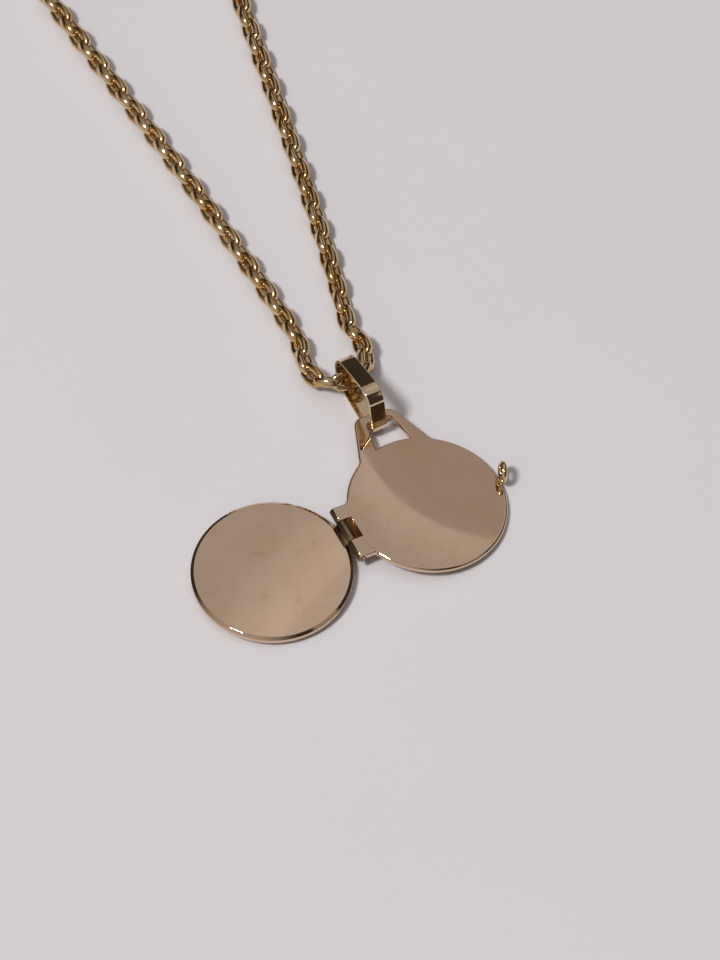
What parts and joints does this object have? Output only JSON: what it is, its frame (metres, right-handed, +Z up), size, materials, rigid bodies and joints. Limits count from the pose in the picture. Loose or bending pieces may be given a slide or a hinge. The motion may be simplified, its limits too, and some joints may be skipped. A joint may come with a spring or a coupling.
{
  "type": "open locket pendant on a belcher chain necklace",
  "caption": "Round gold locket lying open on its hinge, with a band bail and a belcher chain necklace.",
  "frame": {"origin": "on the table under the middle of the cover", "axes": "+X from the cover across the hinge to the catch ring, +Y towards the bail and the chain, +Z up from the table"},
  "size_m": [0.0677, 0.2401, 0.0078],
  "materials": {
    "gold": "polished yellow gold with light wear",
    "chain_gold": "polished yellow gold, worn at the edges"
  },
  "bodies": {
    "back_half": {"back_plate": "gold", "hinge_pin": "gold", "bail": "gold", "chain": "chain_gold", "clasp": "chain_gold"},
    "front_half": {"cover": "gold"}
  },
  "joints": [
    {"name": "locket_hinge", "type": "hinge", "parent": "back_half", "child": "front_half", "pos_m": [0.01055, 0, 0.00225], "axis": [0, 1, 0], "range_deg": [0, 185.6]}
  ]
}
